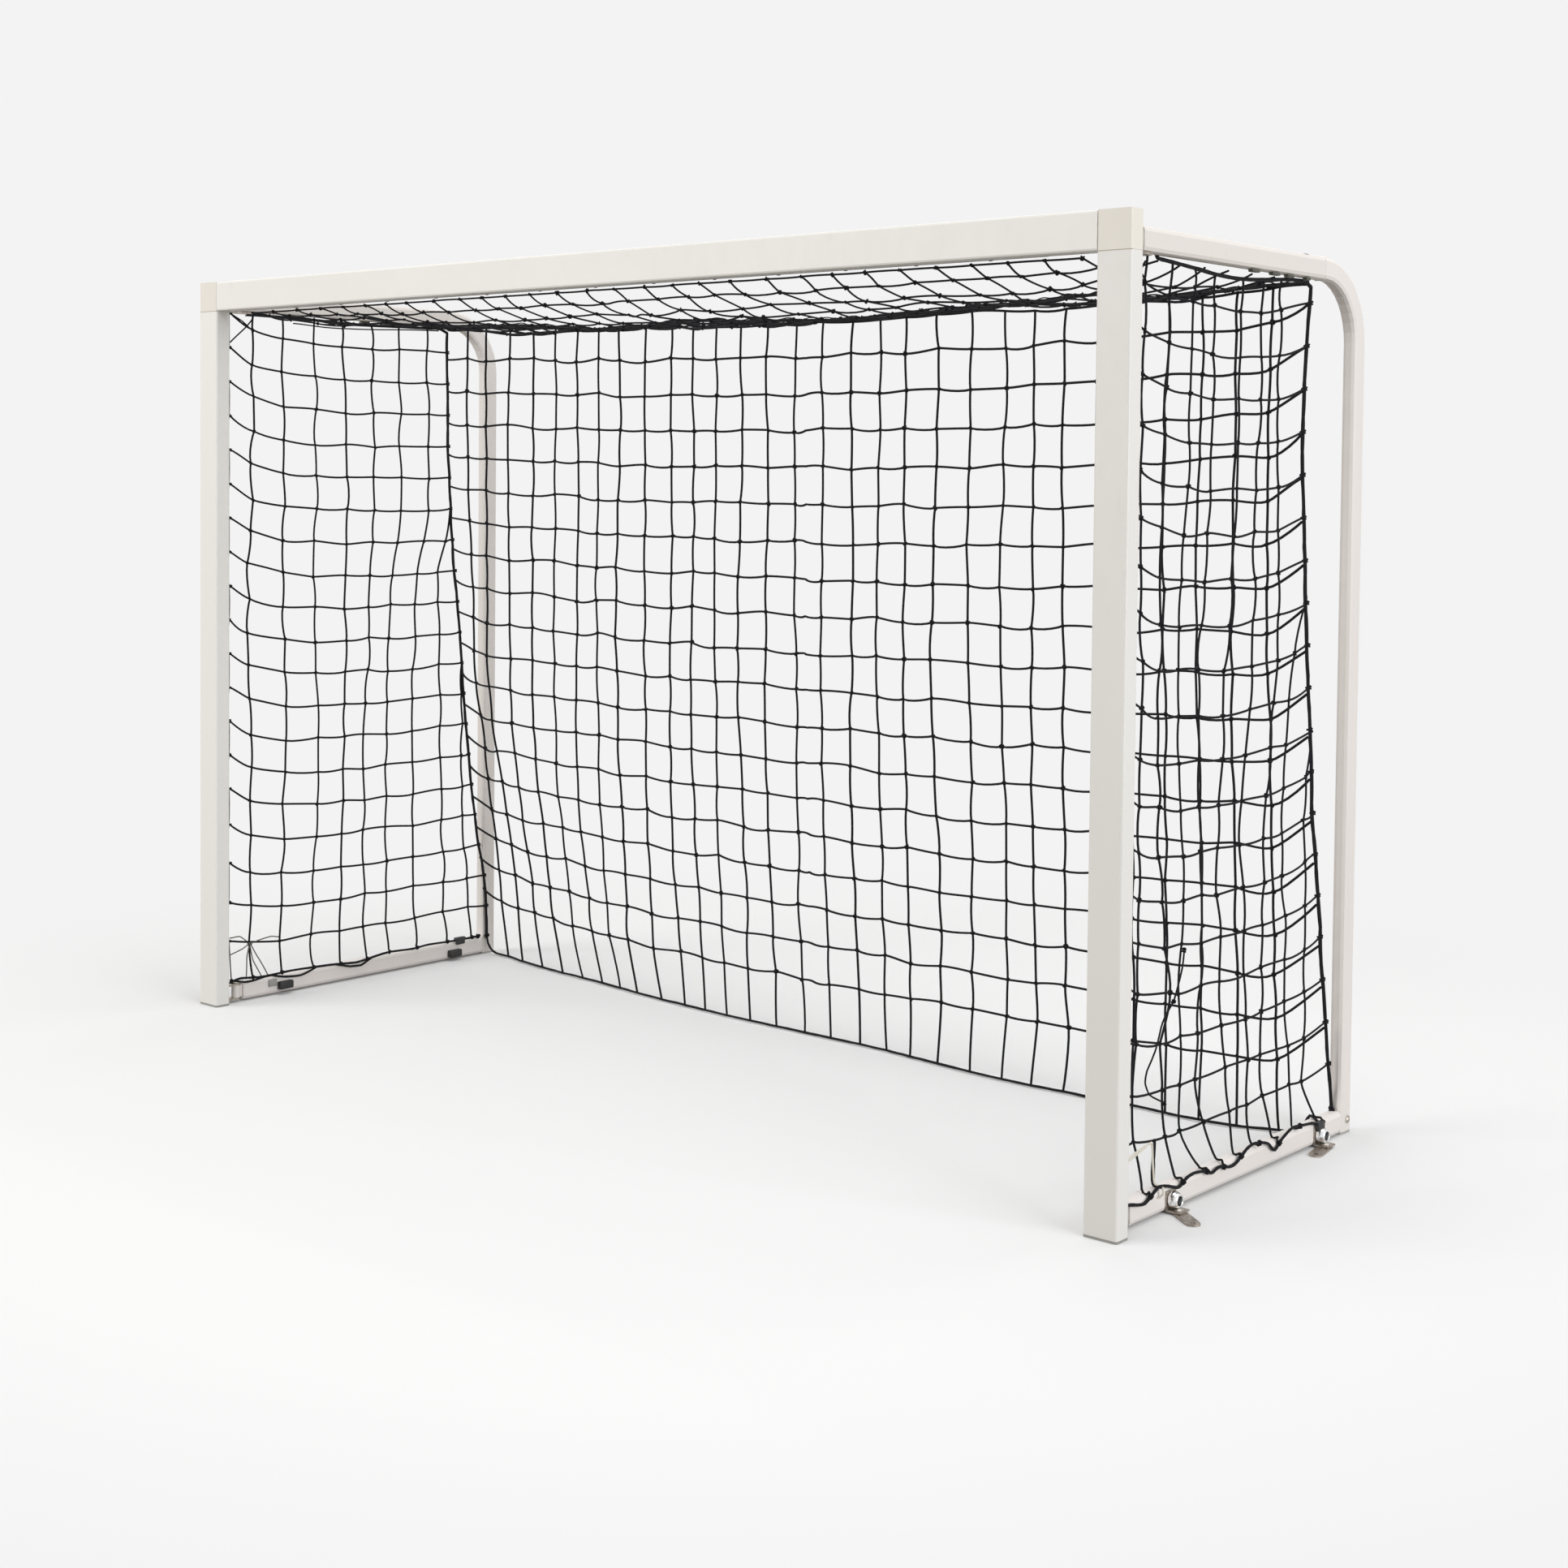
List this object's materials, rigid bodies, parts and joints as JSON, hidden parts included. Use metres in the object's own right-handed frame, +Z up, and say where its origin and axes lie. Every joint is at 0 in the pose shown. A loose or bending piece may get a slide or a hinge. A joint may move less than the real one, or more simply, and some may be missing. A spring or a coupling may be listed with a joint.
{
  "type": "handball goal",
  "caption": "Small handball goal: square-cornered white frame, two hinged side frames, black net hung from cords, and swivelling floor anchors on the ground rails.",
  "frame": {"origin": "centre of the footprint, on the floor", "axes": "X along the crossbar, Y from the goal mouth to the rear legs, Z up"},
  "size_m": [2.6346, 0.851, 1.666],
  "materials": {
    "frame_white": "satin powder coat",
    "cast_aluminium": "satin powder coat",
    "zinc_steel": "zinc plated",
    "chrome": "polished",
    "black_plastic": "matte",
    "twine": "knotted polyamide twine"
  },
  "bodies": {
    "goal_frame": {"crossbar": "frame_white", "crossbar_hooks": "black_plastic", "net_back": "twine", "net_top": "twine", "rear_cord": "twine", "ground_cord": "twine", "post_l": "frame_white", "corner_l": "cast_aluminium", "foot_cap_l": "black_plastic", "post_hooks_l": "black_plastic", "hinge_bracket_upper_l": "zinc_steel", "hinge_bracket_lower_l": "zinc_steel", "hinge_pin_upper_l": "zinc_steel", "hinge_pin_lower_l": "zinc_steel", "post_r": "frame_white", "corner_r": "cast_aluminium", "foot_cap_r": "black_plastic", "post_hooks_r": "black_plastic", "hinge_bracket_upper_r": "zinc_steel", "hinge_bracket_lower_r": "zinc_steel", "hinge_pin_upper_r": "zinc_steel", "hinge_pin_lower_r": "zinc_steel"},
    "side_frame_l": {"hinge_knuckle_upper_l": "cast_aluminium", "hinge_knuckle_lower_l": "cast_aluminium", "arm_l": "frame_white", "arm_splice_l": "cast_aluminium", "rear_tube_l": "frame_white", "leg_bolt_l": "zinc_steel", "leg_cap_l": "black_plastic", "ground_rail_l": "frame_white", "anchor_bracket_front_l": "zinc_steel", "anchor_cup_front_l": "chrome", "anchor_bracket_rear_l": "zinc_steel", "anchor_cup_rear_l": "chrome", "net_side_l": "twine", "side_cord_l": "twine"},
    "foot_front_l": {"anchor_foot_front_l": "zinc_steel"},
    "screw_front_l": {"clamp_screw_front_l": "black_plastic"},
    "foot_rear_l": {"anchor_foot_rear_l": "zinc_steel"},
    "screw_rear_l": {"clamp_screw_rear_l": "black_plastic"},
    "side_frame_r": {"hinge_knuckle_upper_r": "cast_aluminium", "hinge_knuckle_lower_r": "cast_aluminium", "arm_r": "frame_white", "arm_splice_r": "cast_aluminium", "rear_tube_r": "frame_white", "leg_bolt_r": "zinc_steel", "leg_cap_r": "black_plastic", "ground_rail_r": "frame_white", "anchor_bracket_front_r": "zinc_steel", "anchor_cup_front_r": "chrome", "anchor_bracket_rear_r": "zinc_steel", "anchor_cup_rear_r": "chrome", "net_side_r": "twine", "side_cord_r": "twine"},
    "foot_front_r": {"anchor_foot_front_r": "zinc_steel"},
    "screw_front_r": {"clamp_screw_front_r": "black_plastic"},
    "foot_rear_r": {"anchor_foot_rear_r": "zinc_steel"},
    "screw_rear_r": {"clamp_screw_rear_r": "black_plastic"}
  },
  "joints": [
    {"name": "fold_l", "type": "hinge", "parent": "goal_frame", "child": "side_frame_l", "pos_m": [-1.225, -0.3555, 0.024], "axis": [0, 0, -1], "range_deg": [0, 90], "deforming": ["net_back", "net_top", "rear_cord", "ground_cord"]},
    {"name": "foot_swivel_front_l", "type": "hinge", "parent": "side_frame_l", "child": "foot_front_l", "pos_m": [-1.257, -0.2215, 0], "axis": [0, 0, -1], "range_deg": [-55, 125]},
    {"name": "screw_turn_front_l", "type": "hinge", "parent": "side_frame_l", "child": "screw_front_l", "pos_m": [-1.225, -0.2215, 0.022], "axis": [-1, 0, 0], "continuous": true},
    {"name": "foot_swivel_rear_l", "type": "hinge", "parent": "side_frame_l", "child": "foot_rear_l", "pos_m": [-1.257, 0.2915, 0], "axis": [0, 0, -1], "range_deg": [-10, 170]},
    {"name": "screw_turn_rear_l", "type": "hinge", "parent": "side_frame_l", "child": "screw_rear_l", "pos_m": [-1.225, 0.2915, 0.022], "axis": [-1, 0, 0], "continuous": true},
    {"name": "fold_r", "type": "hinge", "parent": "goal_frame", "child": "side_frame_r", "pos_m": [1.225, -0.3555, 0.024], "axis": [0, 0, 1], "range_deg": [0, 90], "deforming": ["net_back", "net_top", "rear_cord", "ground_cord"]},
    {"name": "foot_swivel_front_r", "type": "hinge", "parent": "side_frame_r", "child": "foot_front_r", "pos_m": [1.257, -0.2215, 0], "axis": [0, 0, 1], "range_deg": [-55, 125]},
    {"name": "screw_turn_front_r", "type": "hinge", "parent": "side_frame_r", "child": "screw_front_r", "pos_m": [1.225, -0.2215, 0.022], "axis": [1, 0, 0], "continuous": true},
    {"name": "foot_swivel_rear_r", "type": "hinge", "parent": "side_frame_r", "child": "foot_rear_r", "pos_m": [1.257, 0.2915, 0], "axis": [0, 0, 1], "range_deg": [-10, 170]},
    {"name": "screw_turn_rear_r", "type": "hinge", "parent": "side_frame_r", "child": "screw_rear_r", "pos_m": [1.225, 0.2915, 0.022], "axis": [1, 0, 0], "continuous": true}
  ]
}
